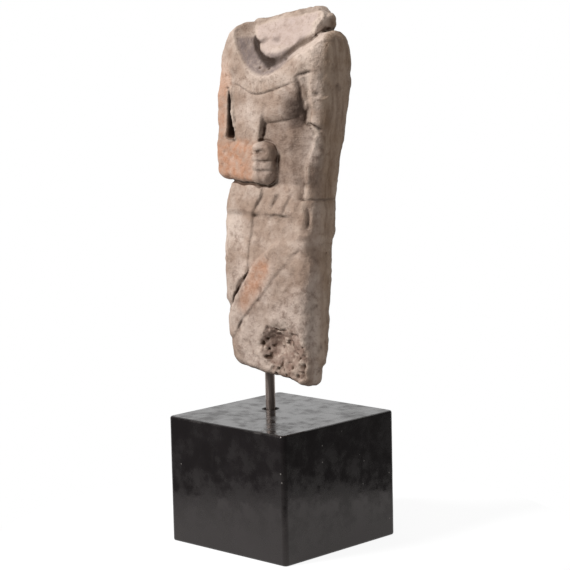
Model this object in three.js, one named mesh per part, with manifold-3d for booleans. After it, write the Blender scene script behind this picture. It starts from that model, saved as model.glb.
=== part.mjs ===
// A headless stone statuette of a ruler, held by a round rod over a square block of black stone.
// Millimetres, +Z up. The origin is the middle of the block's underside. The figure looks toward -Y,
// its own left hand is at +X.
import * as THREE from 'three';
import { mergeVertices } from 'three/addons/utils/BufferGeometryUtils.js';
import Module from 'manifold-3d';

// The block and the rod
const BLOCK_SIDE = 65;
const BLOCK_HEIGHT = 52;
const BLOCK_EDGE = 0.8;
const BLOCK_CORNER = 2;
const ROD_DIAMETER = 4;
const ROD_X = -9.3;
const ROD_Y = 3.5;
const ROD_IN_BLOCK = 26;
const ROD_IN_STONE = 20;
const ROD_ENTRY = 71;
const FIT_GAP = 0.3;
const SINK_DIAMETER = 7.6;
const SINK_DEPTH = 1.6;

// The statuette leans a little toward its own left and back. Heights in its shape are over the table.
const LEAN_DEGREES = 2.35;
const LEAN_X = 0.718;
const LEAN_Y = 0.696;
const BASE_X = -0.3;
const BASE_Y = -0.3;
const BASE_HEIGHT = 66;

// Edges between its front, sides and back
const FRONT_EDGE = 4;
const BACK_EDGE = 6.5;
const UNDER_EDGE = 2;
const SHOULDER_EDGE = 5.5;

// How far inside a sample is taken to be where the surface would touch itself
const TOUCH = 0.05;

// Heights of the figure's parts
const ELBOW = 146.8;
const WAIST = 146;
const FINGERTIPS = 126.2;
const BELT_LOW = 134.4;
const WRIST = 141.6;
const CHEST_LOW = 172.4;
const SHOULDER = 209.2;

const clamp = (v, low, high) => Math.min(Math.max(v, low), high);
const mix = (a, b, t) => a + (b - a) * t;

// 0 before one value and 1 past the other, with an eased step between
function ease(from, to, v) {
  const t = clamp((v - from) / (to - from), 0, 1);
  return t * t * (3 - 2 * t);
}

// A size that changes along a line, given at a few named stations and eased over a soft length
function profile(stations, soft = 2) {
  const straight = (v) => {
    if (v <= stations[0][0]) return stations[0][1];
    for (let i = 1; i < stations.length; i++) {
      const [a, from] = stations[i - 1];
      const [b, to] = stations[i];
      if (v <= b) return mix(from, to, (v - a) / (b - a));
    }
    return stations[stations.length - 1][1];
  };
  return (v) => (straight(v - soft) + 2 * straight(v) + straight(v + soft)) / 4;
}

// Distances: negative inside, positive outside
function join(a, b, blend) {
  const h = Math.max(blend - Math.abs(a - b), 0) / blend;
  return Math.min(a, b) - h * h * blend * 0.25;
}

const common = (a, b, blend) => -join(-a, -b, blend);

// Two faces that meet in an edge of the given radius
function corner(u, v, radius) {
  const p = u + radius;
  const q = v + radius;
  return Math.min(Math.max(p, q), 0) + Math.hypot(Math.max(p, 0), Math.max(q, 0)) - radius;
}

function oval(x, y, z, centre, radii) {
  const q = Math.hypot((x - centre[0]) / radii[0], (y - centre[1]) / radii[1], (z - centre[2]) / radii[2]);
  return (q - 1) * Math.min(...radii) * 0.9;
}

// How far a point of a plane is from a chain of points, and how far along the chain that is
function chain(u, v, points) {
  let near = Infinity;
  let along = 0;
  for (let i = 1; i < points.length; i++) {
    const [a, b] = points[i - 1];
    const du = points[i][0] - a;
    const dv = points[i][1] - b;
    const t = clamp(((u - a) * du + (v - b) * dv) / (du * du + dv * dv), 0, 1);
    const d = Math.hypot(u - a - t * du, v - b - t * dv);
    if (d < near) {
      near = d;
      along = (i - 1 + t) / (points.length - 1);
    }
  }
  return [near, along];
}

// Half widths and depths of the body at each height
const rightTrunk = profile([[66, 15.8], [74, 17.2], [82, 19.6], [88, 21.2], [100, 22.8], [115, 23.6],
  [130, 23.4], [141, 20.8], [150, 17.6], [158, 16.6], [172, 18], [190, 20.5], [212, 20]]);
const leftTrunk = profile([[66, 20.6], [73, 21.4], [80, 22.2], [100, 22.2], [115, 22.8], [130, 22.3],
  [145, 19.6], [158, 16.5], [172, 19], [190, 20.5], [212, 20]]);
const trunkFront = profile([[66, 9.6], [85, 11], [100, 11.2], [133, 11.9], [135, 12.9], [139, 12.9],
  [145, 12.3], [147, 11.3], [158, 11], [170.6, 11.1], [173.8, 13.3], [177, 13.9], [184, 13.9],
  [190, 13.3], [202, 11.4], [212, 10.8]], 0.6);
const back = profile([[66, 8], [85, 10], [120, 10.6], [140, 9.9], [158, 10.5], [175, 12.2], [194, 13.6],
  [200, 12.8], [212, 10.8]]);

// Outer faces and fronts of the arms at each height
const leftSide = profile([[120, 22], [126, 22.8], [138, 23.4], [140.5, 22.9], [148, 23.7], [157, 24.7],
  [165, 25.7], [175, 26.4], [193, 26.2], [199, 25], [204, 22.6], [212, 18]], 1);
const leftFront = profile([[120, 9.6], [134, 10.6], [141, 9.4], [150, 9.4], [158, 8.8], [168, 7],
  [173, 8.2], [186, 9.6], [200, 8.2], [212, 6]], 1);
const rightSide = profile([[140, 22], [146, 23.6], [149, 25], [156, 26.1], [167, 26.3], [171, 27],
  [178, 26.5], [186, 25.7], [193, 25.7], [199, 24.9], [204, 22.9], [212, 18]], 1);
const rightFront = profile([[140, 10.5], [146, 11.5], [150, 13], [158, 13.7], [172, 12.8], [188, 11.6],
  [201, 10.8], [212, 9.4]], 1.5);

// The broken top's height across the figure, and the underside's height along the leaning diagonal
const ridge = profile([[-30, 210.4], [-14, 211], [-8, 212.1], [0, 214], [6, 216], [10, 217.1], [14, 216.6],
  [17, 214.8], [20, 210], [30, 206]], 0.8);
const underside = profile([[-22, 73.5], [-12, 71.8], [0, 70.6], [7, 69.2], [14, 67.2], [30, 66.9]], 1);

// Edges of the kilt's cloth on the front, as x for each height or as chains of (x, height)
const panelEdge = profile([[96, -17.5], [106, -12.6], [110, -7.6], [121, -6.8], [133.5, -4.6],
  [141.5, 0.4], [150, 1]], 0.6);
const FOLD_TOP = [[-22, 88], [-15, 99.5], [-7, 110.4], [-1, 116.5], [8, 123.5], [19.5, 126]];
const FOLD_FOOT = [[-17, 82], [-10.9, 90], [-1.9, 99.3], [6.5, 109.2], [14.6, 115.9], [19.5, 121.6]];
const foldTop = profile(FOLD_TOP, 0.5);
const foldFoot = profile(FOLD_FOOT, 0.5);

// Cut lines on the front: chain of (x, height), half width, depth
const FRONT_CUTS = [
  { line: [[17.2, 188.5], [18.5, 180], [18.6, 172]], wide: 0.9, deep: 1.8 },
  { line: [[-3.2, 157.6], [4, 160.2]], wide: 0.7, deep: 1.4 },
  { line: [[-2.4, 155.2], [7.6, 156]], wide: 0.7, deep: 1.5 },
  { line: [[-1.2, 151.5], [7.2, 152.1]], wide: 0.7, deep: 1.5 },
  { line: [[1.2, 142.5], [-2.2, 137.2]], wide: 0.9, deep: 1.2 },
  { line: [[9.2, 143.6], [5.4, 135.5]], wide: 0.9, deep: 1.2 },
  { line: [[15.9, 144.2], [11.4, 135.4]], wide: 0.9, deep: 1.4 },
  { line: [[-6.5, BELT_LOW - 1], [3, BELT_LOW], [19, BELT_LOW]], wide: 0.8, deep: 1 },
  { line: [[18, 190], [23.4, 191.8]], wide: 0.8, deep: 1.1 },
];
const COLLAR_EDGE = [[-13.8, 185.4], [-5.9, 182.1], [-2.4, 181.5], [5.2, 183.4], [17, 187.6]];

function trunk(x, y, z) {
  const middle = ease(WAIST, WAIST + 6, z);
  const behind = x > 0 ? ease(-9.5, -6, y) : ease(-7, -3, y);
  const side = (x > 0 ? leftTrunk(z) : rightTrunk(z)) + 2.6 * behind * middle;
  const rounding = mix(1.6, 2.4, ease(165, 175, z)) * (x / 20) ** 2;
  const flank = 2.3 * ease(0.7, -0.9, x - 0.12 * (z - 170)) * ease(177, 172, z) * middle;
  const muscle = 0.9 * Math.exp(-(((x - 10) / 7.5) ** 2) - ((z - 177.5) / 5) ** 2);
  const depth = y < 0
    ? -y - (trunkFront(z) - rounding + flank + muscle)
    : y - (back(z) - 1.6 * (x / 22) ** 2);
  const edge = mix(BACK_EDGE, mix(FRONT_EDGE, 5, middle), ease(2, -4, y));
  return corner(depth, Math.abs(x) - side, edge);
}

function arm(x, y, z, side, front, low, width, edge) {
  const depth = y < 0 ? -y - front(z) : y - (back(z) - 0.6);
  const across = Math.abs(x - (side(z) - width / 2)) - width / 2;
  const column = corner(depth, across, mix(BACK_EDGE - 1, edge, ease(2, -3, y)));
  return corner(column, low - z, 2.2);
}

function shoulders(x) {
  return SHOULDER - 0.05 * Math.abs(x) + 1.4 * ease(16, 8, Math.abs(x + 2)) - ease(2, 12, x);
}

// The bent forearm lies across the belly and ends in a closed fist.
function forearm(x, y, z) {
  const reach = ease(-24, -6, x);
  const low = mix(147, 146.5, reach);
  const high = mix(163.4, 162.2, reach);
  const bar = corner(Math.max(-y - mix(13.6, 14.5, reach), y), Math.max(low - z, z - high), 3.2);
  return corner(bar, Math.max(x, -x - rightSide(z)), 3);
}

function fist(x, y, z) {
  const end = 7.5 - 0.6 * ease(157, 163, z) - 1.5 * ease(150, 146, z);
  const top = 163.3 + 0.25 * Math.min(x, 1) - 0.3 * Math.max(x - 1, 0);
  const knuckles = corner(Math.max(-y - 15.3, y), Math.max(x - end, -3.6 - x), 2.6);
  return corner(knuckles, Math.max(z - top, 146.3 - z), 2.4);
}

// The stump of the neck: an oval column cut by two sloping fracture faces, with a lump on its left.
function neckColumn(x, y) {
  return (Math.hypot((x - 1.5) / 17, (y - 2.6) / 11.2) - 1) * 10;
}

function neckFace(x, y) {
  return 197.5 + 1.43 * (y + 8.4) - 0.09 * x;
}

// The groove under the front edge of the stump, from the middle to the left shoulder
function moat(x, y, z) {
  const ends = Math.max(x - 14.5, -x - 3, z - 209);
  return Math.max(neckColumn(x, y) - 2.2, (neckFace(x, y) - 3.4 - z) * 0.6, ends);
}

function neck(x, y, z) {
  const shelf = 209.2 + 0.75 * (y - 0.2) + 0.16 * (x + 9);
  const broken = common(neckColumn(x, y), (z - Math.min(neckFace(x, y), shelf)) * 0.6, 0.5);
  const topped = common(broken, (z - ridge(x) + 0.2 * Math.max(y - 4, 0)) * 0.9, 1);
  const lump = oval(x, y, z, [14.5, 4.5, 211.4], [5.4, 6.5, 4.4]);
  return Math.max(join(topped, lump, 2), 186 - z);
}

function yoke(x, y, z) {
  const plan = corner(Math.max(-y - 6.4 + 0.25 * Math.abs(x + 8), y - 10.5), Math.max(x - 13, -x - 15.5), 3);
  return Math.max(corner(plan, z - ridge(x) + 0.3, 1.2), 195 - z);
}

// How much the kilt's cloth stands out of the front, or lies back from it
function cloth(x, y, z) {
  const front = ease(-4, -8, y);
  const panel = ease(0.6, -0.6, x - panelEdge(z)) * ease(94, 98, z) * ease(WAIST, WAIST - 1, z);
  const fold = ease(-0.6, 0.6, z - foldFoot(x)) * ease(0.6, -0.8, z - foldTop(x)) * ease(20, 12, x);
  const gap = (1 - panel) * ease(-0.4, 0.8, z - foldTop(x)) * ease(111.5, 108.5, z) * ease(92, 97, z);
  return front * (0.9 * panel + 0.8 * fold - 0.9 * gap);
}

function collar(x, y, z) {
  const [, along] = chain(x, z, COLLAR_EDGE);
  const edge = profile(COLLAR_EDGE, 0.5)(x);
  const ends = ease(0, 0.1, along) * ease(1, 0.8, along);
  return 0.7 * ease(-0.4, 0.4, z - edge) * ease(200, 190, z) * ends * ease(-6, -9, y);
}

function cuts(x, y, z) {
  let depth = 0;
  for (const { line, wide, deep } of FRONT_CUTS) {
    const [away] = chain(x, z, line);
    depth += ease(-3, -6, y) * deep * Math.exp(-((away / wide) ** 2));
  }
  const [fromWrist] = chain(y, z, [[-11, WRIST], [9, WRIST - 0.4]]);
  return depth + ease(15, 19, x) * Math.exp(-((fromWrist / 0.8) ** 2));
}

// The whole statuette as one distance
function statuette(x, y, z) {
  let stone = trunk(x, y, z);
  stone = join(stone, arm(x, y, z, leftSide, leftFront, FINGERTIPS, 8.6, 4), 1);
  stone = join(stone, arm(-x, y, z, rightSide, rightFront, ELBOW, 8, 3.4), 0.8);
  stone = corner(stone, z - shoulders(x), SHOULDER_EDGE);
  stone = join(stone, forearm(x, y, z), 0.8);
  stone = join(stone, fist(x, y, z), 0.5);
  stone = join(stone, yoke(x, y, z), 1.5);
  stone = common(stone, -oval(x, y, z, [1.5, -14, 207.6], [17.6, 8.6, 19]), 1.2);
  stone = common(stone, -moat(x, y, z), 1);
  stone = join(stone, neck(x, y, z), 0.4);
  const [fromSlit, down] = chain(x, z, [[-19.6, 183.5], [-18.6, 172], [-18, 163.8]]);
  stone = common(stone, -Math.max(fromSlit - mix(0.5, 1.3, down), y + 6), 0.5);
  stone += cuts(x, y, z) - cloth(x, y, z) - collar(x, y, z);
  stone = common(stone, -oval(x, y, z, [10.5, -14, 79.5], [11.5, 8, 12.5]), 0.6);
  stone += 1.1 * ease(74.4, 73, z - 0.08 * (y - 2)) * ease(12, 16, x) * ease(-4, -1, y);
  return corner(stone, underside(LEAN_X * x + LEAN_Y * y) - z, UNDER_EDGE);
}

// Grid lines from low to high whose spacing follows a profile
function gridLines(low, high, spacing) {
  const lines = [low];
  while (lines[lines.length - 1] < high) {
    lines.push(lines[lines.length - 1] + spacing(lines[lines.length - 1]));
  }
  return lines;
}

// Where the four samples round a grid square are inside and outside by turns, the surface would touch
// itself. The outside sample nearest to the surface is taken inside, until no such square is left.
function settle(value, [nx, ny, nz]) {
  const stepX = ny * nz;
  const planes = [[stepX, nz], [stepX, 1], [nz, 1]];
  let changed = true;
  while (changed) {
    changed = false;
    for (let start = 0; start < (nx - 1) * stepX - nz - 1; start++) {
      for (const [u, v] of planes) {
        const ring = [start, start + u, start + u + v, start + v];
        const signs = ring.map((index) => value[index] < 0);
        if (signs[0] !== signs[2] || signs[1] !== signs[3] || signs[0] === signs[1]) continue;
        const outer = ring.filter((index) => value[index] >= 0);
        const nearest = value[outer[0]] < value[outer[1]] ? outer[0] : outer[1];
        value[nearest] = -TOUCH;
        changed = true;
      }
    }
  }
}

// One vertex in each cell that the surface passes through, and one four-sided face for each grid edge
// that it crosses
function skin(field, xs, ys, zs) {
  const [nx, ny, nz] = [xs.length, ys.length, zs.length];
  const at = (i, j, k) => (i * ny + j) * nz + k;
  const value = new Float64Array(nx * ny * nz);
  for (let i = 0; i < nx; i++) {
    for (let j = 0; j < ny; j++) {
      for (let k = 0; k < nz; k++) value[at(i, j, k)] = field(xs[i], ys[j], zs[k]);
    }
  }
  settle(value, [nx, ny, nz]);
  const inside = (i, j, k) => value[at(i, j, k)] < 0;
  const positions = [];
  const vertexOf = new Map();
  const cell = (i, j, k) => {
    const key = at(i, j, k);
    if (vertexOf.has(key)) return vertexOf.get(key);
    const sum = new THREE.Vector3();
    let crossings = 0;
    const cross = (a, b) => {
      const from = value[at(...a)];
      const to = value[at(...b)];
      if (from < 0 === to < 0) return;
      const t = from / (from - to);
      sum.x += mix(xs[a[0]], xs[b[0]], t);
      sum.y += mix(ys[a[1]], ys[b[1]], t);
      sum.z += mix(zs[a[2]], zs[b[2]], t);
      crossings++;
    };
    for (const p of [0, 1]) {
      for (const q of [0, 1]) {
        cross([i, j + p, k + q], [i + 1, j + p, k + q]);
        cross([i + p, j, k + q], [i + p, j + 1, k + q]);
        cross([i + p, j + q, k], [i + p, j + q, k + 1]);
      }
    }
    sum.divideScalar(crossings);
    positions.push(sum.x, sum.y, sum.z);
    vertexOf.set(key, positions.length / 3 - 1);
    return vertexOf.get(key);
  };
  const triangles = [];
  const point = (v) => new THREE.Vector3().fromArray(positions, v * 3);
  const face = (ring, flip) => {
    const [a, b, c, d] = flip ? ring.reverse() : ring;
    const shortAC = point(a).distanceTo(point(c)) < point(b).distanceTo(point(d));
    triangles.push(...(shortAC ? [a, b, c, a, c, d] : [b, c, d, b, d, a]));
  };
  for (let i = 1; i < nx - 1; i++) {
    for (let j = 1; j < ny - 1; j++) {
      for (let k = 1; k < nz - 1; k++) {
        const here = inside(i, j, k);
        if (here !== inside(i + 1, j, k)) {
          face([cell(i, j - 1, k - 1), cell(i, j, k - 1), cell(i, j, k), cell(i, j - 1, k)], !here);
        }
        if (here !== inside(i, j + 1, k)) {
          face([cell(i - 1, j, k - 1), cell(i - 1, j, k), cell(i, j, k), cell(i, j, k - 1)], !here);
        }
        if (here !== inside(i, j, k + 1)) {
          face([cell(i - 1, j - 1, k), cell(i, j - 1, k), cell(i, j, k), cell(i - 1, j, k)], !here);
        }
      }
    }
  }
  const geometry = new THREE.BufferGeometry();
  geometry.setAttribute('position', new THREE.Float32BufferAttribute(positions, 3));
  geometry.setIndex(triangles);
  return geometry;
}

const wasm = await Module();
wasm.setup();

function toSolid(geometry) {
  const bare = geometry.clone();
  bare.deleteAttribute('normal');
  bare.deleteAttribute('uv');
  const merged = mergeVertices(bare, 1e-4);
  return new wasm.Manifold(new wasm.Mesh({
    numProp: 3,
    vertProperties: new Float32Array(merged.attributes.position.array),
    triVerts: new Uint32Array(merged.index.array),
  }));
}

function toGeometry(solid) {
  const { vertProperties, triVerts, numProp } = solid.getMesh();
  const positions = [];
  for (let i = 0; i < vertProperties.length; i += numProp) {
    positions.push(vertProperties[i], vertProperties[i + 1], vertProperties[i + 2]);
  }
  const geometry = new THREE.BufferGeometry();
  geometry.setAttribute('position', new THREE.Float32BufferAttribute(positions, 3));
  geometry.setIndex([...triVerts]);
  return geometry;
}

// A round shape about the vertical through (x, y), from a closed profile of (radius, height)
function turned(outline, x, y, sides = 24) {
  const points = outline.map(([radius, height]) => new THREE.Vector2(radius, height));
  return new THREE.LatheGeometry(points, sides).rotateX(Math.PI / 2).translate(x, y, 0);
}

function blockGeometry() {
  const half = BLOCK_SIDE / 2 - BLOCK_EDGE;
  const r = BLOCK_CORNER - BLOCK_EDGE;
  const plan = new THREE.Shape();
  plan.moveTo(-half + r, -half);
  plan.absarc(half - r, -half + r, r, -Math.PI / 2, 0);
  plan.absarc(half - r, half - r, r, 0, Math.PI / 2);
  plan.absarc(-half + r, half - r, r, Math.PI / 2, Math.PI);
  plan.absarc(-half + r, -half + r, r, Math.PI, 1.5 * Math.PI);
  const solid = new THREE.ExtrudeGeometry(plan, {
    depth: BLOCK_HEIGHT - 2 * BLOCK_EDGE,
    bevelThickness: BLOCK_EDGE,
    bevelSize: BLOCK_EDGE,
    bevelSegments: 2,
    curveSegments: 4,
  }).translate(0, 0, BLOCK_EDGE);
  const hole = ROD_DIAMETER / 2 + FIT_GAP;
  const floor = BLOCK_HEIGHT - ROD_IN_BLOCK - FIT_GAP;
  const socket = turned([[0, floor], [hole, floor], [hole, BLOCK_HEIGHT - SINK_DEPTH],
    [SINK_DIAMETER / 2, BLOCK_HEIGHT], [SINK_DIAMETER / 2, BLOCK_HEIGHT + 5], [0, BLOCK_HEIGHT + 5]], ROD_X, ROD_Y);
  return toGeometry(toSolid(solid).subtract(toSolid(socket)));
}

function rodGeometry() {
  const r = ROD_DIAMETER / 2;
  const low = BLOCK_HEIGHT - ROD_IN_BLOCK;
  const high = ROD_ENTRY + ROD_IN_STONE;
  return turned([[0, low], [r - 0.3, low], [r, low + 0.3], [r, high - 0.3], [r - 0.3, high], [0, high]],
    ROD_X, ROD_Y);
}

// Where the statuette stands and how it leans
const leanAxis = new THREE.Vector3(-LEAN_Y, LEAN_X, 0).normalize();
const leaning = new THREE.Group();
leaning.position.set(BASE_X, BASE_Y, BASE_HEIGHT);
leaning.quaternion.setFromAxisAngle(leanAxis, THREE.MathUtils.degToRad(LEAN_DEGREES));
leaning.updateMatrix();

function statuetteGeometry() {
  const across = gridLines(-30, 30, () => 2.15);
  const deep = gridLines(-19, 18, profile([[-19, 2.2], [-6, 2.2], [0, 3], [18, 3]], 0.5));
  const up = gridLines(62, 221, profile([[62, 2.5], [95, 2.9], [130, 2.9], [134, 2.2], [165, 2.2], [172, 2.5],
    [190, 2.5], [196, 2.3], [221, 2.3]], 0.5));
  const body = skin(statuette, across, deep, up).translate(0, 0, -BASE_HEIGHT);
  const hole = ROD_DIAMETER / 2 + FIT_GAP;
  const end = ROD_ENTRY + ROD_IN_STONE + FIT_GAP;
  const bore = turned([[0, BLOCK_HEIGHT], [hole, BLOCK_HEIGHT], [hole, end], [0, end]], ROD_X, ROD_Y);
  bore.applyMatrix4(leaning.matrix.clone().invert());
  return toGeometry(toSolid(body).subtract(toSolid(bore)));
}

function named(name, geometry, color, roughness, metalness) {
  geometry.computeVertexNormals();
  const mesh = new THREE.Mesh(geometry, new THREE.MeshStandardMaterial({ color, roughness, metalness }));
  mesh.name = name;
  return mesh;
}

const part = new THREE.Group();
part.add(named('stone_block', blockGeometry(), 0x232122, 0.3, 0));
part.add(named('steel_rod', rodGeometry(), 0x8a8683, 0.35, 1));
leaning.add(named('stone_statuette', statuetteGeometry(), 0xcdb79f, 0.7, 0));
part.add(leaning);

export default part;
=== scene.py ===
"""Looks of a small headless stone statuette on a steel rod over a block of black stone.

The statuette is carved here as a distance field in millimetres: the outline of its solid, then the
finer carving, the breaks and the weathering. Lengths of the figure are millimetres in its own leaning
frame, with heights measured from the table; everything that goes to the scene is in metres."""

import math

import bpy
import numpy as np
from mathutils import Matrix, Vector


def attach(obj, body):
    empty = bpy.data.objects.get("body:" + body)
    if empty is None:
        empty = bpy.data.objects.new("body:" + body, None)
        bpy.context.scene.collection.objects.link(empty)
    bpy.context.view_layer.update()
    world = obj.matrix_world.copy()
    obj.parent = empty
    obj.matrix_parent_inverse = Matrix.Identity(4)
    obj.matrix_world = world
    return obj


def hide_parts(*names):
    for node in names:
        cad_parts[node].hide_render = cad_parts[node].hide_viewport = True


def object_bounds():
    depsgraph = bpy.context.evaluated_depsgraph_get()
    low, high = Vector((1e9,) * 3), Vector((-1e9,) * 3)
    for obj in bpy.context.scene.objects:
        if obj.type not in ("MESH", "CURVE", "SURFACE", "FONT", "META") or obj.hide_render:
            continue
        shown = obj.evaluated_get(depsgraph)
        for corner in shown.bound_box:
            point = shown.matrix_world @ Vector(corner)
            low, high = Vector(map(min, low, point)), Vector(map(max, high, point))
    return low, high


MM = 0.001

# The statuette leans a little toward its own left and back
LEAN_DEGREES = 2.35
LEAN_X = 0.718
LEAN_Y = 0.696
BASE = (-0.3, -0.3, 66)

# Edges between its front, sides and back
FRONT_EDGE = 4
BACK_EDGE = 6.5
UNDER_EDGE = 2.6
SHOULDER_EDGE = 5.5

# Heights of the figure's parts
ELBOW = 146.8
WAIST = 146
FINGERTIPS = 125.4
WRIST = 141.3
SHOULDER = 209.2


def clamp(v, low=0.0, high=1.0):
    return np.minimum(np.maximum(v, low), high)


def mix(a, b, t):
    return a + (b - a) * t


def ease(start, end, v):
    """0 before one value and 1 past the other, with an eased step between"""
    t = clamp((v - start) / (end - start))
    return t * t * (3 - 2 * t)


def bell(v, width):
    return np.exp(-((v / width) ** 2))


def profile(stations, soft=2.0):
    """A size that changes along a line, given at a few named stations and eased over a soft length"""
    at, size = np.array(stations, float).T

    def eased(v):
        ends = np.interp(v - soft, at, size) + np.interp(v + soft, at, size)
        return (ends + 2 * np.interp(v, at, size)) / 4

    return eased


# Distances: negative inside, positive outside
def join(a, b, blend):
    h = np.maximum(blend - np.abs(a - b), 0) / blend
    return np.minimum(a, b) - h * h * blend * 0.25


def common(a, b, blend):
    return -join(-a, -b, blend)


def corner(u, v, radius):
    """Two faces that meet in an edge of the given radius"""
    p = u + radius
    q = v + radius
    return np.minimum(np.maximum(p, q), 0) + np.hypot(np.maximum(p, 0), np.maximum(q, 0)) - radius


def oval(x, y, z, centre, radii):
    scaled = [(v - c) / r for v, c, r in zip((x, y, z), centre, radii)]
    return (np.sqrt(sum(s * s for s in scaled)) - 1) * min(radii) * 0.9


def chain(u, v, points):
    """How far a point of a plane is from a chain of points, and how far along the chain that is"""
    near = np.full(np.broadcast(u, v).shape, np.inf)
    along = np.zeros_like(near)
    last = len(points) - 1
    for i, ((a, b), (c, d)) in enumerate(zip(points, points[1:])):
        t = clamp(((u - a) * (c - a) + (v - b) * (d - b)) / ((c - a) ** 2 + (d - b) ** 2))
        away = np.hypot(u - a - t * (c - a), v - b - t * (d - b))
        closer = away < near
        along = np.where(closer, (i + t) / last, along)
        near = np.where(closer, away, near)
    return near, along


LATTICE = 48


def noise(x, y, z, size, seed):
    """Smooth random values from -1 to 1, in bumps of about the given size"""
    lattice = np.random.default_rng(seed).uniform(-1, 1, (LATTICE,) * 3)
    cells, steps = [], []
    for v in (x, y, z):
        whole = np.floor(v / size)
        t = v / size - whole
        steps.append(t * t * (3 - 2 * t))
        cells.append(whole.astype(int) % LATTICE)
    total = 0
    for corner_id in range(8):
        bits = [corner_id >> axis & 1 for axis in range(3)]
        weight = 1
        for bit, step in zip(bits, steps):
            weight = weight * (step if bit else 1 - step)
        total = total + weight * lattice[tuple((c + bit) % LATTICE for c, bit in zip(cells, bits))]
    return total


def layered(x, y, z, size, seed, layers=3):
    """Noise of several sizes, each half as large and half as strong as the one before"""
    return sum(noise(x, y, z, size / 2**n, seed + n) / 2**n for n in range(layers))


# Half widths and depths of the body at each height
right_trunk = profile([(66, 17.8), (74, 19.2), (82, 20.6), (88, 21.5), (100, 22.8), (115, 23.6),
                       (130, 23.4), (141, 20.9), (148, 19.6), (158, 16.6), (172, 18), (190, 20.5), (212, 20)])
left_trunk = profile([(66, 22.2), (73, 22.6), (80, 22.9), (100, 22.4), (115, 23.3), (130, 22.5),
                      (145, 19.6), (158, 16.5), (172, 19), (190, 20.5), (212, 20)])
trunk_front = profile([(66, 9.6), (85, 11), (100, 11.2), (133, 11.9), (135, 12.9), (139, 12.9),
                       (145, 12.3), (147, 11.3), (158, 11), (172, 11.2), (180, 11.6), (187, 13.3),
                       (190, 13.3), (202, 11.4), (212, 10.8)], 0.6)
RIGHT_FRONT = 13.6
back = profile([(66, 8), (85, 10), (120, 10.6), (140, 9.9), (158, 10.5), (175, 12.2), (194, 13.6),
                (200, 12.8), (212, 10.8)])

# Outer faces and fronts of the arms at each height
left_side = profile([(120, 22), (126, 23), (138, 23.4), (140.5, 22.9), (148, 23.7), (157, 24.7),
                     (165, 25.7), (175, 26.6), (185, 27), (194, 27.2), (200, 26.4), (205, 24.8), (212, 22)], 1)
left_front = profile([(120, 9.6), (134, 10.6), (141, 9.4), (150, 9.4), (158, 8.8), (168, 7),
                      (173, 8.2), (186, 9.6), (200, 8.2), (212, 6)], 1)
right_side = profile([(140, 22), (146, 23.6), (149, 24.6), (156, 25.4), (167, 25.8), (171, 26.8),
                      (178, 26.9), (186, 26.6), (193, 26.8), (199, 26.2), (204, 24.4), (212, 20)], 1)
right_front = profile([(140, 10.5), (146, 11.5), (150, 13), (158, 13.7), (172, 12.8), (188, 11.6),
                       (201, 10.8), (212, 9.4)], 1.5)

# Inner faces of the arms, and how round their front edges are; the left one narrows in at the elbow
left_inner = profile([(120, 17), (134, 17), (141, 18.6), (147, 18.3), (153, 18.4), (157.7, 19), (161.7, 20.6),
                      (166, 21.2), (168.5, 20.8), (171, 18.6), (180, 18.2), (190, 18.4), (212, 18)], 0.8)
right_inner = profile([(140, 14), (155, 16), (212, 16)])
left_edge = profile([(120, 4), (140, 4.5), (144, 6), (166, 5.5), (171, 5.5), (176, 7), (212, 7.5)], 1)
right_edge = profile([(140, 3.4), (212, 3.4)])

# The broken top's height across the figure, and the underside's height along the leaning diagonal
ridge = profile([(-30, 210.8), (-16, 211.6), (-8, 213.2), (0, 215.2), (6, 217.2), (10, 217.8), (14, 215.8),
                 (17, 213.8), (20, 209.5), (30, 206)], 0.8)
underside = profile([(-22, 72.3), (-12, 70.6), (0, 68.8), (7, 67.4), (14, 66), (30, 65.2)], 1)

# Edges of the kilt's cloth on the front, as x for each height or as chains of (x, height)
panel_edge = profile([(96, -17.5), (106, -12.6), (110, -7.6), (121, -6.8), (133.5, -4.6),
                      (141.5, 0.4), (150, 1)], 0.6)
FOLD_TOP = [(-22, 88), (-15, 99.5), (-7, 110.4), (-1, 116.5), (8, 123.5), (19.5, 126)]
FOLD_FOOT = [(-17, 82), (-10.9, 90), (-1.9, 99.3), (6.5, 109.2), (14.6, 115.9), (19.5, 121.6)]
fold_top = profile(FOLD_TOP, 0.5)
fold_foot = profile(FOLD_FOOT, 0.5)
COLLAR_EDGE = [(-13.8, 185.4), (-5.9, 182.1), (-2.4, 181.5), (5.2, 183.4), (17, 187.6)]
collar_edge = profile(COLLAR_EDGE, 3)


def breast(x, z):
    """The rounded left breast: 1 where it is full, 0 outside it, steepest along its lower edge"""
    away = np.abs((x - 7) / 13.5) ** 3 + np.abs((z - 181 - 0.16 * (x - 7)) / 9.8) ** 3
    return (1 - clamp(away)) ** 0.6


def trunk(x, y, z):
    middle = ease(WAIST, WAIST + 6, z)
    behind = np.where(x > 0, ease(-9.5, -6, y), ease(-7, -3, y))
    wide = np.maximum(left_trunk(z), np.minimum(left_trunk(z) + 6 * behind * middle, left_inner(z) + 2))
    side = np.where(x > 0, wide, right_trunk(z) + 2.6 * behind * middle)
    rounding = mix(1.6, 2.4, ease(165, 175, z)) * (x / 20) ** 2
    front = trunk_front(z)
    left_front_out = mix(front, np.maximum(front, RIGHT_FRONT + 0.2), breast(x, z))
    right_front_out = np.maximum(front, mix(front, RIGHT_FRONT, middle * ease(190, 184, z)))
    front = mix(left_front_out, right_front_out, ease(0.7, -0.9, x - 0.12 * (z - 170)))
    front_face = -y - (front - rounding)
    back_face = y - (back(z) - 1.6 * (x / 22) ** 2)
    edge = mix(BACK_EDGE, mix(FRONT_EDGE, 5, middle), ease(2, -4, y))
    return corner(np.where(y < 0, front_face, back_face), np.abs(x) - side, edge)


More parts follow.
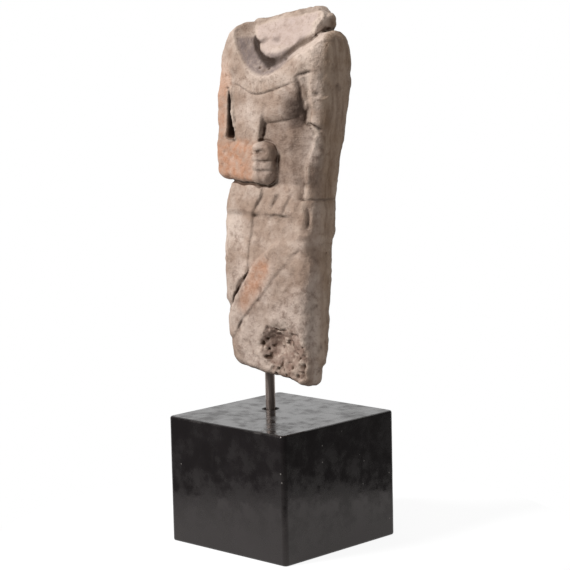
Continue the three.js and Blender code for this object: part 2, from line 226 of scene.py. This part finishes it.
def arm(x, y, z, side, inner, front, low, edge):
    depth = np.where(y < 0, -y - front(z), y - (back(z) - 0.6))
    middle = (side(z) + inner(z)) / 2
    across = np.abs(x - middle) - (side(z) - inner(z)) / 2
    column = corner(depth, across, mix(BACK_EDGE - 1, edge(z), ease(2, -3, y)))
    return corner(column, low - z, 2.2)


def shoulders(x):
    return SHOULDER - 0.05 * np.abs(x) + 1.6 * bell(x + 16.5, 4) - ease(2, 12, x)


def forearm(x, y, z):
    """The bent forearm lies across the belly and ends in a closed fist."""
    reach = ease(-24, -6, x)
    low = mix(147, 146.5, reach)
    high = mix(163.4, 162.2, reach)
    front_face = np.maximum(-y - mix(13.6, 14.5, reach), y)
    bar = corner(front_face, np.maximum(low - z, z - high), 3.2)
    return corner(bar, np.maximum(x, -x - right_side(z)), 3)


def fist(x, y, z):
    end = 7.5 - 0.6 * ease(157, 163, z) - 1.5 * ease(150, 146, z)
    top = 163.3 + 0.25 * np.minimum(x, 1) - 0.3 * np.maximum(x - 1, 0)
    knuckles = corner(np.maximum(-y - 15.3, y), np.maximum(x - end, -3.6 - x), 2.6)
    return corner(knuckles, np.maximum(z - top, 146.3 - z), 2.4)


# The hollow round the neck: the height of its rim across the chest, and how steeply it climbs behind it
rim_height = profile([(-26, 226), (-22, 214), (-18.4, 204.1), (-16.6, 200.6), (-12.8, 195.9), (-9.6, 192.5),
                      (-4.5, 189.5), (-0.4, 188.5), (4.5, 189.5), (9.4, 192), (13.2, 194.9), (17.6, 197.3),
                      (21.7, 200.1), (28, 206)], 1)
rim_slope = profile([(-14, 0.98), (-11, 1.08), (-8.8, 1.22), (-5, 1.4), (0, 1.42), (4, 1.22), (9, 0.9),
                     (13, 0.74), (17.6, 0.72), (22, 0.6)], 1)


# The stump of the neck: an oval column, flatter on its left front, cut by two sloping fracture faces
def neck_column(x, y):
    oval_side = (np.hypot((x - 1.2) / 16.2, (y - 2.4) / 11.1) - 1) * 10
    left_front = 0.66 * (x - 6.5) - 0.75 * (y + 7.6) - 0.3
    return corner(oval_side, left_front, 2.5)


def neck_face(x, y):
    """Height of the front fracture face"""
    return 197.5 + 1.43 * (y + 8.4) - 0.09 * x


def shelf(x, y):
    """Height of the second face, behind and above the first"""
    return 210.4 + 0.85 * y + 0.046 * x


def broken_top(x, y, z):
    """Above this the neck and what stood behind it are broken away."""
    face = (z - np.minimum(neck_face(x, y), shelf(x, y))) * 0.6
    crest = (z - ridge(x) + 0.2 * np.maximum(y - 4, 0)) * 0.9
    return common(face, crest, 1)


def neckline(x, y, z):
    """The hollow between the collar and the neck slopes up and back from the collar's rim."""
    back_from_rim = y - (2.4 * (x / 20) ** 2 - 13)
    scooped = 1.3 * bell(back_from_rim - 4, 2.6) * bell(x, 14)
    height = rim_height(x) + rim_slope(x) * back_from_rim - scooped
    return (height - z) / np.hypot(1, rim_slope(x))


def neck(x, y, z):
    column = np.maximum(neck_column(x, y), 186 - z)
    behind = corner(np.maximum(-y - 2, y - 10.5), np.maximum(x - 16.5, -x - 18), 3)
    return join(column, np.maximum(behind, 195 - z), 1.5)


def cloth(x, y, z):
    """How much the kilt's cloth stands out of the front, or lies back from it"""
    front = ease(-4, -8, y)
    panel = ease(0.6, -0.6, x - panel_edge(z)) * ease(94, 98, z) * ease(WAIST, WAIST - 1, z)
    fold = ease(-0.9, 0.9, z - fold_foot(x)) * ease(0.9, -1, z - fold_top(x)) * ease(18, 4, x)
    gap = (1 - panel) * ease(-0.4, 0.8, z - fold_top(x)) * ease(111.5, 108.5, z) * ease(92, 97, z)
    return front * (0.8 * panel + 0.7 * fold - 0.8 * gap)


def body(x, y, z):
    """The whole statuette with its larger carving"""
    stone = trunk(x, y, z)
    fused = 6 * ease(184, 194, z)
    stone = join(stone, arm(x, y, z, left_side, left_inner, left_front, FINGERTIPS, left_edge), 2.4 + fused)
    stone = join(stone, arm(-x, y, z, right_side, right_inner, right_front, ELBOW, right_edge), 0.8 + fused)
    stone = corner(stone, z - shoulders(x), mix(SHOULDER_EDGE, 4.2, ease(-5, 5, x)))
    stone = join(stone, forearm(x, y, z), 0.8)
    stone = join(stone, fist(x, y, z), 0.5)
    missing = np.maximum(neck_column(x, y), -broken_top(x, y, z))
    stone = common(common(stone, -neckline(x, y, z), 2), -missing, 0.4)
    stone = join(stone, common(neck(x, y, z), broken_top(x, y, z), 0.5), 0.4)
    stone = join(stone, oval(x, y, z, (15.6, 7.2, 209.8), (3.4, 3.6, 3.9)), 1.5)
    from_slit, down = chain(x, z, [(-19.6, 183.5), (-18.8, 174), (-18.1, 164.6)])
    stone = common(stone, -np.maximum(from_slit - mix(0.15, 1.35, down), y + 6.5), 0.8)
    stone = stone - cloth(x, y, z)
    stone = common(stone, -oval(x, y, z, (10.5, -15.2, 79.5), (13, 7.6, 13.5)), 1.5)
    step = ease(74.4, 73, z - 0.08 * (y - 2)) * ease(12, 16, x) * ease(-4, -1, y)
    return corner(stone + 1.1 * step, underside(LEAN_X * x + LEAN_Y * y) - z, UNDER_EDGE)


# Cut lines on the front, as chains of (x, height) with their half width and depth
FRONT_LINES = [
    # middle of the chest
    ([(1.9, 177.6), (0.7, 172), (-0.2, 168), (-0.7, 163.9)], 0.9, 0.55),
    # between the left arm and the chest
    ([(17.2, 188.1), (18, 182.3), (18.5, 176.4), (18.6, 171)], 0.6, 1.1),
    # between the fingers of the fist
    ([(-2.6, 158.1), (4, 160.1)], 0.5, 0.6),
    ([(-1.8, 155.4), (7, 155.9)], 0.5, 0.6),
    ([(-0.3, 151.5), (6.8, 152)], 0.5, 0.6),
    # pleats of the kilt's upper edge, the middle one deepest
    ([(0.8, 141.5), (-2, 136.9)], 0.7, 0.35),
    ([(8.7, 142.5), (5.6, 137.1)], 0.8, 0.8),
    ([(15.5, 143), (11.7, 135.6)], 0.7, 0.5),
    # below the belt, where it is cut deepest
    ([(-4.6, 133.3), (-1.8, 133.3)], 0.7, 0.6),
    ([(3.5, 134.1), (13.6, 134.3)], 0.7, 0.6),
    # on the skirt
    ([(14.6, 115.6), (9.6, 111.9), (6.5, 109.2)], 0.7, 0.35),
    ([(18.8, 121.1), (16, 118.5)], 0.6, 0.5),
    ([(2.4, 118), (4.5, 116.2)], 0.5, 0.4),
    ([(-10.9, 90), (-13.5, 86.4)], 0.6, 0.5),
    ([(-10.5, 91), (-12.5, 98), (-14.5, 103)], 0.8, 0.3),
]

# Lines round the left front corner, as chains of (place across the corner, height); negative depth stands out
CORNER_LINES = [
    # left elbow's crease and the lip above it
    ([(9, 170.8), (11.5, 170.4), (14.2, 168.8)], 0.6, 0.8),
    ([(9.6, 172.2), (12, 171.8), (14.4, 170.3)], 0.7, -0.4),
    # scar on the upper arm: a curved ridge under a pit
    ([(12, 181.6), (14.5, 180.9), (17.6, 181.9)], 0.6, -0.45),
    ([(11.6, 183), (13, 182.8)], 0.7, 0.5),
    # thumb, the cut beside it and the forefinger
    ([(7.2, 139), (8.2, 135), (7.8, 131)], 1, -0.5),
    ([(9.8, 137.6), (10.5, 134.5), (10, 130.5)], 0.6, 0.9),
    ([(12, 135.8), (12.3, 131), (11.4, 127.6), (9.6, 126.9)], 1.2, -0.5),
    # thin lines over the shoulder and at the collar's left end
    ([(13.4, 202.6), (16.5, 203.2), (19.3, 203.6)], 0.3, 0.3),
    ([(4.2, 189.2), (7.3, 190.4), (10.3, 191.7)], 0.6, 0.7),
    # small round pit on the skirt
    ([(9.2, 114.9), (9.3, 114.8)], 0.8, 0.7),
]


def cut_lines(u, z, lines):
    """How deep the lines are cut at each place across and height"""
    deepest = 0
    raised = 0
    for points, width, depth in lines:
        away, along = chain(u, z, points)
        ends = ease(0, 0.15, along) * ease(1, 0.85, along)
        cut = depth * bell(away, width) * mix(0.6, 1, ends)
        deepest = np.maximum(deepest, cut)
        raised = np.minimum(raised, cut)
    return deepest + raised


def all_lines(x, y, z):
    """The cut lines, wavering a little and worn away in places"""
    worn = 0.75 + 0.5 * noise(x, y, z, 5, 51)
    x = x + 0.35 * noise(x, y, z, 2.6, 52)
    z = z + 0.35 * noise(x, y, z, 2.6, 53)
    across = LEAN_X * x + LEAN_Y * y
    front = ease(-3, -6, y) * cut_lines(x, z, FRONT_LINES)
    left = ease(14, 17, x) * ease(6, 3, y) * cut_lines(across, z, CORNER_LINES)
    wrist = 0.6 * bell(z - WRIST, 0.5) * ease(18, 19.5, x) * ease(8, 3, y)
    return (front + left + wrist) * worn


def fingers(x, z):
    """The four rolled fingers of the fist, as bumps between the cuts"""
    place = (z - 147.5) / 3.85
    return 0.55 * np.abs(np.sin(math.pi * place)) * ease(-3.4, -2.2, x) * ease(147, 148, z) * ease(163.5, 162, z)


def collar(x, y, z):
    """The raised band of the collar with its row of slanting beads, worn away to the figure's left"""
    above = z - collar_edge(x)
    there = ease(-5, -8, y) * ease(-19, -15, x) * ease(19, 13, x)
    beads = (0.5 + 0.5 * np.cos(math.tau * (x + 0.4 * above) / 2.05)) ** 2
    beads = beads * ease(0.7, 1.5, above) * ease(5.2, 4, above) * ease(8, 4, x)
    band = 0.45 * ease(-0.5, 0.6, above) - 0.3 * bell(above + 0.5, 0.45) - 0.35 * beads
    rim = 0.5 * bell(z - rim_height(x) + 0.6, 1.3) * ease(12, 4, x)
    return there * band + ease(-4, -7, y) * ease(-21, -18, x) * rim


def pits(u, v, seed, count, low, high, sizes):
    """Small scattered holes, their places drawn between two corners of a plane"""
    draw = np.random.default_rng(seed)
    deepest = 0
    for _ in range(count):
        a, b = draw.uniform(low, high)
        radius = draw.uniform(*sizes)
        deepest = np.maximum(deepest, radius * bell(np.hypot(u - a, v - b), radius))
    return deepest


def weathering(x, y, z):
    """The tooled and weathered surface: shallow dents, fine grain and small holes"""
    dents = 0.36 * layered(x, y, z, 6, 11) + 0.15 * layered(x, y, z, 1.9, 21, 2)
    rough_top = 0.5 * ease(12, 15, x) * ease(204, 207, z) * layered(x, y, z, 3, 61, 2)
    front = ease(-1, -4, y) * pits(x, z, 31, 40, (-22, 70), (22, 210), (0.2, 0.6))
    left = ease(14, 18, x) * pits(y, z, 32, 22, (-6, 70), (10, 200), (0.2, 0.6))
    right = ease(-14, -18, x) * pits(y, z, 33, 22, (-6, 70), (10, 200), (0.2, 0.6))
    behind = ease(3, 6, y) * pits(x, z, 34, 30, (-22, 70), (22, 205), (0.2, 0.6))
    return dents + rough_top + front + left + right + behind


def broken_off(x, z):
    """From 0 on sound stone to 1 in the rough break at the left front of the bottom"""
    x = x + 1.5 * layered(x, 0 * x, z, 5, 41, 3)
    z = z + 1.5 * layered(x, 0 * x, z, 5, 42, 3)
    upper = np.hypot((x - 6.5) / 7.5, (z - 82) / 7.5)
    lower = np.hypot((x - 13) / 8, (z - 77) / 13)
    return ease(1.08, 0.88, np.minimum(upper, lower))


def crumble(x, y, z):
    """The rough break: ragged edges, a deeper hollow on its right and crumbs everywhere in it"""
    crumbs = 0.5 * layered(x, y, z, 3.4, 43, 3) + 0.6 * ease(0.2, 0.6, noise(x, y, z, 1.5, 47))
    hollow = 2.4 * bell(np.hypot((x - 6.6) / 5, (z - 81.5) / 4), 1)
    return ease(0, -3, y) * broken_off(x, z) * (0.5 + crumbs + hollow)


def stone(x, y, z):
    """The finished surface of the statuette"""
    aside = 0.4 * noise(x, y, z, 5, 55)
    up = 0.4 * noise(x, y, z, 5, 56)
    surface = body(x + aside, y, z + up) + all_lines(x, y, z) - collar(x, y, z)
    surface = surface - fingers(x, z) * ease(-13.5, -14.5, y) * ease(7, 5, x)
    return surface + weathering(x, y, z) + crumble(x, y, z)


# Blender: the distances become meshes, and from here on sizes go to the scene in metres
FIELD_LOW = (-30.5, -18.5, 62)
FIELD_SIZE = (61, 35, 158)
FINE_STEP = 0.42
COARSENESS = 5
NEAR_SURFACE = 2.4
MOST_TRIANGLES = 190000


def carved_surface(quick):
    """Surface nets of the stone: a point in each small cell that its surface crosses, joined across the edges.
    Distances are worked out in full only in the coarse cells that are near the surface."""
    step = FINE_STEP * (2 if quick else 1)
    coarse = step * COARSENESS
    count = np.ceil(np.array(FIELD_SIZE) / coarse).astype(int)
    middles = [low + (np.arange(n) + 0.5) * coarse for low, n in zip(FIELD_LOW, count)]
    rough = body(*np.meshgrid(*middles, indexing="ij"))
    field = rough
    for axis in range(3):
        field = np.repeat(field, COARSENESS, axis)
    near = np.nonzero(np.abs(field) < NEAR_SURFACE + coarse / 2)
    field[near] = stone(*(low + (index + 0.5) * step for low, index in zip(FIELD_LOW, near)))
    points, quads = surface_nets(field)
    return np.array(FIELD_LOW) + (points + 0.5) * step, quads


def surface_nets(field):
    strides = np.array([field.shape[1] * field.shape[2], field.shape[2], 1])
    rings, spots = [], []
    for axis in range(3):
        one, two = (axis + 1) % 3, (axis + 2) % 3
        ahead = np.roll(field, -1, axis)
        at = np.argwhere((field < 0) != (ahead < 0))
        at = at[at[:, axis] < field.shape[axis] - 1]
        here, there = field[tuple(at.T)], ahead[tuple(at.T)]
        spot = at.astype(float)
        spot[:, axis] += here / (here - there)
        ring = []
        for back_one, back_two in ((0, 0), (1, 0), (1, 1), (0, 1)):
            cell = at.copy()
            cell[:, one] -= back_one
            cell[:, two] -= back_two
            ring.append(cell @ strides)
        ring = np.stack(ring, 1)
        ring[there < 0] = ring[there < 0][:, ::-1]
        rings.append(ring)
        spots.append(np.repeat(spot, 4, 0))
    cells, place = np.unique(np.concatenate(rings), return_inverse=True)
    place = place.ravel()
    spots = np.concatenate(spots)
    sums = [np.bincount(place, spots[:, axis]) for axis in range(3)]
    return np.stack(sums, 1) / np.bincount(place)[:, None], place.reshape(-1, 4)


def to_world(points):
    """From the figure's leaning frame in millimetres to the scene's frame in metres"""
    lean = Matrix.Rotation(math.radians(LEAN_DEGREES), 3, Vector((-LEAN_Y, LEAN_X, 0)))
    turned = (points - [0, 0, BASE[2]]) @ np.array(lean).T
    return (turned + BASE) * MM


def new_object(name, mesh):
    made = bpy.data.objects.new(name, mesh)
    bpy.context.collection.objects.link(made)
    for face in mesh.polygons:
        face.use_smooth = True
    return made


def thinned(made, most):
    """The object's mesh with no more than the given number of triangles, fewest where the surface is plain"""
    triangles = 2 * len(made.data.polygons)
    fewer = made.modifiers.new("fewer", "DECIMATE")
    fewer.ratio = min(1, most / triangles)
    depsgraph = bpy.context.evaluated_depsgraph_get()
    mesh = bpy.data.meshes.new_from_object(made.evaluated_get(depsgraph))
    made.modifiers.clear()
    made.data = mesh
    return mesh


def statuette(quick, top):
    points, quads = carved_surface(quick)
    mesh = bpy.data.meshes.new("stone_statuette")
    mesh.from_pydata(points.tolist(), [], quads.tolist())
    made = new_object("carved_stone", mesh)
    mesh = thinned(made, MOST_TRIANGLES)
    places = np.empty(len(mesh.vertices) * 3)
    mesh.vertices.foreach_get("co", places)
    normals = np.empty(len(mesh.vertices) * 3)
    mesh.vertices.foreach_get("normal", normals)
    places, normals = places.reshape(-1, 3), normals.reshape(-1, 3)
    for name, colours in stains(places, normals).items():
        layer = mesh.color_attributes.new(name, "FLOAT_COLOR", "POINT")
        layer.data.foreach_set("color", colours.ravel())
    world = to_world(places)
    world[:, 2] = np.minimum(world[:, 2], top)
    mesh.vertices.foreach_set("co", world.ravel())
    mesh.polygons.foreach_set("use_smooth", np.ones(len(mesh.polygons), bool))
    mesh.update()
    return made


# Orange stains, as (x, height) and size
ORANGE_SPOTS = [((1.5, 113), 3.5), ((-1.6, 110), 4.2), ((-3.8, 105.5), 4), ((-7, 101), 4), ((-10, 97), 3)]


def stains(places, normals):
    """Where the stone is stained, chipped or worn, and where shade is painted on it, as three sets of three
    masks from 0 to 1
    """
    x, y, z = places.T
    out = stone(*(places + 1.3 * normals).T) / 1.3
    deep = stone(*(places - 1.3 * normals).T) / -1.3
    # Painted shade: the hollow mask darkens the stone where its surface lies in a hollow or crease
    hollow = clamp(1.05 - out) * 1.6
    worn = clamp(1.02 - deep) * 1.5
    front = ease(-2, -6, y)
    # The figure's left side is coloured browner and darker: partly brown patina, partly painted shade on the
    # side turned from the lamp
    left = ease(20, 24, x + 0.6 * y)
    forearm_patina = front * ease(1, -7, x) * ease(146, 148, z) * ease(165, 162, z)
    upper_arm = ease(-17, -20, x) * ease(150, 160, z) * ease(200, 182, z)
    kilt = sum(bell(np.hypot(x - a, z - b), size) for (a, b), size in ORANGE_SPOTS)
    orange = clamp(forearm_patina + 0.8 * upper_arm + front * kilt)
    from_rim = z - rim_height(x)
    hatched = ease(-0.6, 1.6, from_rim) * ease(15, 4, x) * ease(-19, -16, x) * ease(4, 1, y)
    in_neck = ease(0.5, -0.5, neck_column(x, y))
    facet = ease(1.1, 0.3, np.abs(z - neck_face(x, y)) * 0.6) * in_neck * ease(14.6, 13.4, x)
    facet = facet * ease(0.3, -0.3, neck_face(x, y) - shelf(x, y))
    grey = clamp(hatched * (1 - in_neck) * ease(206.5, 204.5, z + 2 * ease(-10, -14, x)))
    below_face = ease(0.2, -0.4, z - neck_face(x, y)) * ease(206, 203, z) * ease(2, -1, y) * ease(185, 190, z)
    wall = bell(neck_column(x, y), 0.8) * below_face
    foot = bell(np.maximum(neck_column(x, y) - 0.6, 0), 0.6) * below_face
    # The wall under the front fracture face and its foot are painted dark as shade below the face's edge;
    # further to the figure's left the wall takes the brown of the side instead
    wall, brown_wall = wall * ease(5, 1, x) + 0.5 * foot, wall * ease(1, 5, x)
    # Painted shade in the grooves of the carved lines
    line_shade = clamp(all_lines(x, y, z) / 0.7)
    # Painted shade in the slit between the right arm and the chest, on the front only
    slit = ease(-21, -19.8, x) * ease(-17.5, -18.2, x) * ease(162, 165, z) * ease(184, 180, z)
    slit = slit * ease(-13, -11, y) * ease(-2, -5, y)
    # Painted shade in the carved lines, in the slit and under the neck's fracture face, and by the armpit below
    painted_shade = clamp(np.maximum(np.maximum(wall, 0.55 * line_shade), slit))
    # The belly is darkened partly as grey-brown dirt and partly as painted shade under the breast
    belly = front * ease(-1, 1, x) * ease(145, 148, z) * ease(172, 169, z)
    # Painted shade on the chest by the left arm, where the breast turns away from the lamp
    armpit = front * ease(8, 16, x) * ease(186, 178, z) * ease(168, 172, z) * ease(19, 17.5, x)
    lower = 0.45 * front * ease(126, 96, z)
    painted_shade = clamp(painted_shade + 0.6 * armpit)
    # Dirt on the belly and low on the front, with painted shade on the belly and by the left armpit
    soil_and_shade = clamp(0.6 * belly + armpit + lower)
    crumbly = clamp(front * broken_off(x, z))
    left = np.maximum(left, brown_wall)
    # The wear set holds painted shade in hollows, worn edges and other painted shade; the dirt set holds the
    # left side's colour with painted shade, dirt with painted shade, and the break
    sets = {"tone": (orange, grey, facet), "wear_and_shade": (hollow, worn, painted_shade), "dirt_and_shade": (left, soil_and_shade, crumbly)}
    full = np.ones_like(x)
    return {name: np.stack([*masks, full], 1) for name, masks in sets.items()}


class Finish:
    """A node material being put together round its Principled shader"""

    def __init__(self, name):
        self.material = bpy.data.materials.new(name)
        self.material.use_nodes = True
        self.tree = self.material.node_tree
        self.shader = self.tree.nodes["Principled BSDF"]

    def set(self, **values):
        for name, value in values.items():
            self.shader.inputs[name.replace("_", " ")].default_value = value

    def node(self, kind, settings=(), **inputs):
        made = self.tree.nodes.new(kind)
        for name, value in dict(settings).items():
            setattr(made, name, value)
        for name, value in inputs.items():
            self.feed(made.inputs[name.replace("_", " ")], value)
        return made

    def feed(self, socket, value):
        if isinstance(value, bpy.types.NodeSocket):
            self.tree.links.new(value, socket)
        else:
            socket.default_value = value

    def place(self):
        """The point on the object, in metres"""
        return self.node("ShaderNodeTexCoord").outputs["Object"]

    def stretched(self, scale):
        """The same point with each direction scaled, for streaks"""
        return self.node("ShaderNodeMapping", Vector=self.place(), Scale=scale).outputs["Vector"]

    def speckle(self, size, detail=4, rough=0.55, place=None):
        """Noise from 0 to 1 in spots of the given size in metres"""
        made = self.node("ShaderNodeTexNoise", Vector=place or self.place(), Scale=1 / size, Detail=detail,
                         Roughness=rough)
        return made.outputs["Fac"]

    def dots(self, size, place=None):
        """Distance to the nearest of many scattered points, in units of the given spacing in metres"""
        made = self.node("ShaderNodeTexVoronoi", Vector=place or self.place(), Scale=1 / size)
        return made.outputs["Distance"]

    def steps(self, value, low, high, to_low=0.0, to_high=1.0):
        """The value eased from one range to another"""
        made = self.node("ShaderNodeMapRange", {"interpolation_type": "SMOOTHSTEP"}, Value=value)
        for name, number in zip(("From Min", "From Max", "To Min", "To Max"), (low, high, to_low, to_high)):
            self.feed(made.inputs[name], number)
        return made.outputs["Result"]

    def sum(self, kind, a, b):
        made = self.node("ShaderNodeMath", {"operation": kind})
        self.feed(made.inputs[0], a)
        self.feed(made.inputs[1], b)
        return made.outputs["Value"]

    def times(self, a, b):
        return self.sum("MULTIPLY", a, b)

    def plus(self, a, b):
        return self.sum("ADD", a, b)

    def blend(self, amount, a, b):
        """From colour a to colour b"""
        made = self.node("ShaderNodeMix", {"data_type": "RGBA"})
        self.feed(made.inputs["Factor"], amount)
        self.feed(made.inputs[6], a)
        self.feed(made.inputs[7], b)
        return made.outputs[2]

    def masks(self, name):
        """Three masks that are kept in the mesh"""
        stored = self.node("ShaderNodeAttribute", {"attribute_name": name}).outputs["Color"]
        split = self.node("ShaderNodeSeparateColor", Color=stored)
        return split.outputs["Red"], split.outputs["Green"], split.outputs["Blue"]

    def bumps(self, height, depth):
        """Relief finer than the mesh, its height from 0 to 1 and its depth in metres"""
        return self.node("ShaderNodeBump", Height=height, Distance=depth).outputs["Normal"]

    def finish(self, colour, roughness, normal):
        for name, value in (("Base Color", colour), ("Roughness", roughness), ("Normal", normal)):
            self.feed(self.shader.inputs[name], value)
        return self.material


def colour(red, green, blue):
    """A linear colour from one given as screen values of 0 to 255"""
    channels = [v / 255 for v in (red, green, blue)]
    return tuple(v / 12.92 if v < 0.04 else ((v + 0.055) / 1.055) ** 2.4 for v in channels) + (1,)


def stone_finish():
    """Pale weathered stone: warm and mottled, orange where it was handled, with painted shade in its hollows,
    carved lines and slit, and a browner left side that is partly painted shade
    """
    made = Finish("pale_stone")
    made.set(IOR=1.45, Specular_IOR_Level=0.3)
    orange, grey, facet = made.masks("tone")
    hollow, worn, painted_shade = made.masks("wear_and_shade")
    left, soil_and_shade, crumbly = made.masks("dirt_and_shade")
    broad = made.speckle(0.016, 5)
    small = made.speckle(0.0028, 6, 0.65)
    grain = made.speckle(0.0007, 3)
    streaks = made.speckle(0.003, 5, 0.6, made.stretched((1, 1, 0.12)))
    hatching = made.speckle(0.0012, 3, 0.6, made.stretched((1, 1, 0.35)))
    base = made.blend(made.steps(broad, 0.35, 0.65), colour(138, 117, 102), colour(176, 159, 147))
    base = made.blend(made.times(made.steps(small, 0.48, 0.72), 0.65), base, colour(112, 91, 78))
    # Colour of the figure's left side: browner and darker, partly patina and partly painted shade
    side = made.blend(made.steps(streaks, 0.35, 0.65), colour(112, 88, 66), colour(150, 128, 108))
    base = made.blend(made.times(left, 0.75), base, side)
    patchy = made.steps(made.plus(made.times(small, 0.5), made.times(broad, 0.5)), 0.3, 0.6)
    base = made.blend(made.times(orange, made.times(patchy, 0.8)), base, colour(160, 112, 82))
    # Darker brown for dirt and for painted shade on the belly and by the armpit
    base = made.blend(made.times(soil_and_shade, made.steps(small, 0.3, 0.65, 0.45, 0.95)), base, colour(84, 66, 56))
    base = made.blend(made.times(grey, made.steps(hatching, 0.3, 0.6, 0.6, 1)), base, colour(116, 102, 97))
    base = made.blend(made.times(facet, made.steps(small, 0.25, 0.7, 0.95, 0.5)), base, colour(168, 150, 142))
    base = made.blend(made.times(crumbly, made.steps(small, 0.35, 0.6, 0.45, 1)), base, colour(112, 91, 80))
    # Painted shade in the hollows and creases, mottled a little
    base = made.blend(made.steps(made.plus(hollow, made.times(small, 0.3)), 0.3, 1.1), base, colour(70, 50, 37))
    base = made.blend(made.times(worn, 0.45), base, colour(192, 175, 160))
    base = made.blend(made.times(made.steps(grain, 0.55, 0.75), 0.25), base, colour(95, 76, 64))
    # Painted shade, dark brown
    base = made.blend(painted_shade, base, colour(50, 36, 28))
    relief = made.plus(made.times(small, 0.6), made.times(grain, 0.4))
    return made.finish(base, made.steps(small, 0.2, 0.8, 0.58, 0.82), made.bumps(relief, 0.0005))


def block_finish():
    """Polished black stone with fine pale specks"""
    made = Finish("black_stone")
    made.set(IOR=1.5, Specular_IOR_Level=0.4, Specular_Tint=(1, 0.9, 0.86, 1))
    cloud = made.speckle(0.012, 5)
    specks = made.steps(made.dots(0.006), 0.03, 0.05, 1, 0)
    base = made.blend(cloud, colour(13, 11, 11), colour(24, 21, 22))
    base = made.blend(made.times(specks, 0.5), base, colour(150, 145, 140))
    haze = made.steps(made.speckle(0.007, 6, 0.6), 0.3, 0.7, 0.08, 0.38)
    return made.finish(base, haze, made.bumps(made.speckle(0.003, 3), 0.00002))


def rod_finish():
    """Brushed steel"""
    made = Finish("rod_steel")
    made.set(Metallic=1.0)
    lines = made.speckle(0.0004, 3, place=made.stretched((1, 1, 0.06)))
    base = made.blend(lines, colour(150, 132, 122), colour(202, 188, 180))
    return made.finish(base, made.steps(lines, 0.2, 0.8, 0.28, 0.45), made.bumps(lines, 0.00004))


# The camera as it stood for the photograph
CAMERA_AT = (571.895, -586.639, 219.267)
CAMERA_AZIMUTH = 44.076
CAMERA_ELEVATION = 7.969
CAMERA_ROLL = -1.279
LENS = 129.3


def camera():
    data = bpy.data.cameras.new("camera")
    data.lens = LENS
    data.clip_start = 0.01
    made = bpy.data.objects.new("camera", data)
    bpy.context.collection.objects.link(made)
    turn = Matrix.Rotation(math.radians(CAMERA_AZIMUTH), 4, "Z")
    raise_up = Matrix.Rotation(math.radians(90 - CAMERA_ELEVATION), 4, "X")
    roll = Matrix.Rotation(math.radians(CAMERA_ROLL), 4, "Z")
    made.matrix_world = Matrix.Translation(Vector(CAMERA_AT) * MM) @ turn @ raise_up @ roll
    bpy.context.scene.camera = made


def light(name, towards, strength, angle):
    """A far soft light that shines along the given direction"""
    data = bpy.data.lights.new(name, "SUN")
    data.energy = strength
    data.angle = math.radians(angle)
    made = bpy.data.objects.new(name, data)
    made.matrix_world = Vector(towards).to_track_quat("-Z", "Y").to_matrix().to_4x4()
    bpy.context.collection.objects.link(made)


def surroundings():
    """White to the camera, dim to the stone, and brighter behind the object than in front to what is polished"""
    world = bpy.data.worlds.new("studio")
    world.use_nodes = True
    bpy.context.scene.world = world
    nodes, links = world.node_tree.nodes, world.node_tree.links
    path = nodes.new("ShaderNodeLightPath")
    place = nodes.new("ShaderNodeTexCoord")
    behind = nodes.new("ShaderNodeVectorMath")
    behind.operation = "DOT_PRODUCT"
    links.new(place.outputs["Generated"], behind.inputs[0])
    behind.inputs[1].default_value = (-0.69, 0.71, 0)
    ramp = nodes.new("ShaderNodeMapRange")
    links.new(behind.outputs["Value"], ramp.inputs["Value"])
    for name, number in (("From Min", 0.1), ("From Max", 0.9), ("To Min", 0.12), ("To Max", 1.0)):
        ramp.inputs[name].default_value = number
    dim = nodes.new("ShaderNodeMix")
    dim.inputs[2].default_value = 0.5
    links.new(path.outputs["Is Glossy Ray"], dim.inputs[0])
    links.new(ramp.outputs["Result"], dim.inputs[3])
    seen = nodes.new("ShaderNodeMix")
    links.new(path.outputs["Is Camera Ray"], seen.inputs[0])
    links.new(dim.outputs[0], seen.inputs[2])
    seen.inputs[3].default_value = 1.0
    links.new(seen.outputs[0], nodes["Background"].inputs["Strength"])
    nodes["Background"].inputs["Color"].default_value = (1, 1, 1, 1)
    world.cycles.sampling_method = "NONE"


TABLE_RADIUS = 0.12
TABLE_SIDES = 96


def floor():
    """A pale round table"""
    turns = [n * math.tau / TABLE_SIDES for n in range(TABLE_SIDES)]
    around = [(TABLE_RADIUS * math.cos(a), TABLE_RADIUS * math.sin(a), 0) for a in turns]
    mesh = bpy.data.meshes.new("table")
    mesh.from_pydata(around, [], [list(range(TABLE_SIDES))])
    made = new_object("table", mesh)
    finish = Finish("pale_table")
    clouds = finish.speckle(0.08, 3)
    base = finish.blend(clouds, (0.12, 0.12, 0.12, 1), (0.15, 0.15, 0.15, 1))
    finish.set(Specular_IOR_Level=0.0)
    mesh.materials.append(finish.finish(base, 0.9, finish.bumps(clouds, 0.00005)))
    finish.set(Emission_Color=(1, 1, 1, 1), Emission_Strength=0.9)


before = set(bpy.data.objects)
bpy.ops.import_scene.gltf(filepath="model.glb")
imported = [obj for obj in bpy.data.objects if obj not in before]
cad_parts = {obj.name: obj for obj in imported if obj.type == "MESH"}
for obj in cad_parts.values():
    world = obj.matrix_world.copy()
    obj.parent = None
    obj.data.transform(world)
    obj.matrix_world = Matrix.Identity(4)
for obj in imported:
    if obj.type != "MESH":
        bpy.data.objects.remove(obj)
cad_box = [list(edge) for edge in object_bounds()]
bpy.context.scene.view_settings.view_transform = "Standard"

statue = statuette(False, cad_box[1][2])
statue.data.materials.append(stone_finish())
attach(statue, "root")
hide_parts("stone_statuette")
for node, material in (("stone_block", block_finish()), ("steel_rod", rod_finish())):
    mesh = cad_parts[node].data
    mesh.materials.clear()
    mesh.materials.append(material)

camera()
light("key", (0.34, 0.82, -0.65), 4.9, 20)
surroundings()
floor()
